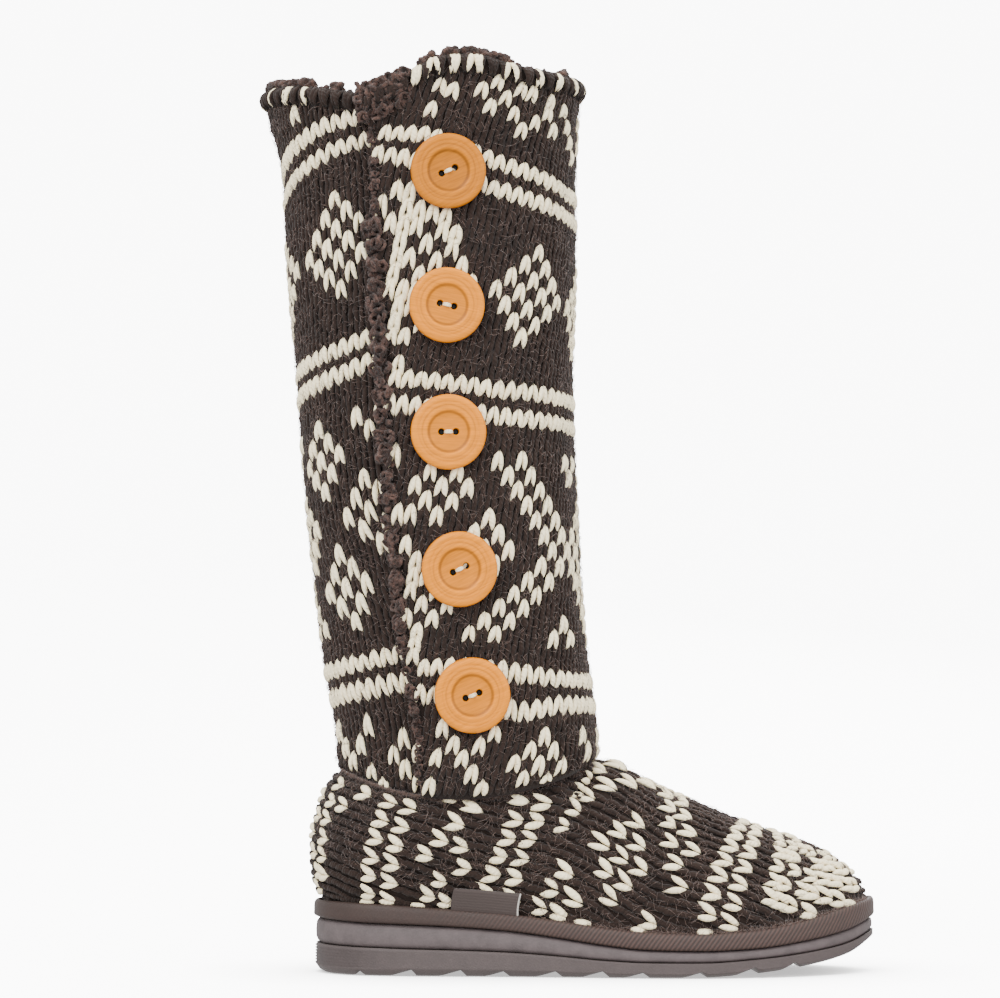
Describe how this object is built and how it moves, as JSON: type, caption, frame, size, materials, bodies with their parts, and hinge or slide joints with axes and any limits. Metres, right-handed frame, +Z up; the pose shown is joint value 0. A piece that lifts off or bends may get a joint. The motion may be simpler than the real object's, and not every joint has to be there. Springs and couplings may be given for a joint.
{
  "type": "knitted slipper boot",
  "caption": "Tall knitted slipper boot for the right foot, wrapped shaft closed by wooden buttons on the outer side, stacked rubber sole.",
  "frame": {"origin": "on the ground under the heel, on the middle of the heel's rest", "axes": "+X to the toe, +Y to the inner side of the foot, +Z up the shaft"},
  "size_m": [0.2794, 0.1257, 0.4099],
  "materials": {
    "knit_yarn": "brown wool knit with cream figures, fleece lined",
    "curly_fleece": "curly brown fleece",
    "rand_rubber": "matt, fine slanted ribs",
    "midsole_rubber": "matt",
    "outsole_rubber": "matt",
    "tab_cloth": "plain woven tape",
    "button_wood": "turned and varnished"
  },
  "bodies": {
    "root": {"upper": "knit_yarn", "shaft": "knit_yarn", "insole": "curly_fleece", "rand": "rand_rubber", "midsole": "midsole_rubber", "outsole": "outsole_rubber", "label": "tab_cloth", "button_1": "button_wood", "button_2": "button_wood", "button_3": "button_wood", "button_4": "button_wood", "button_5": "button_wood"}
  },
  "joints": []
}
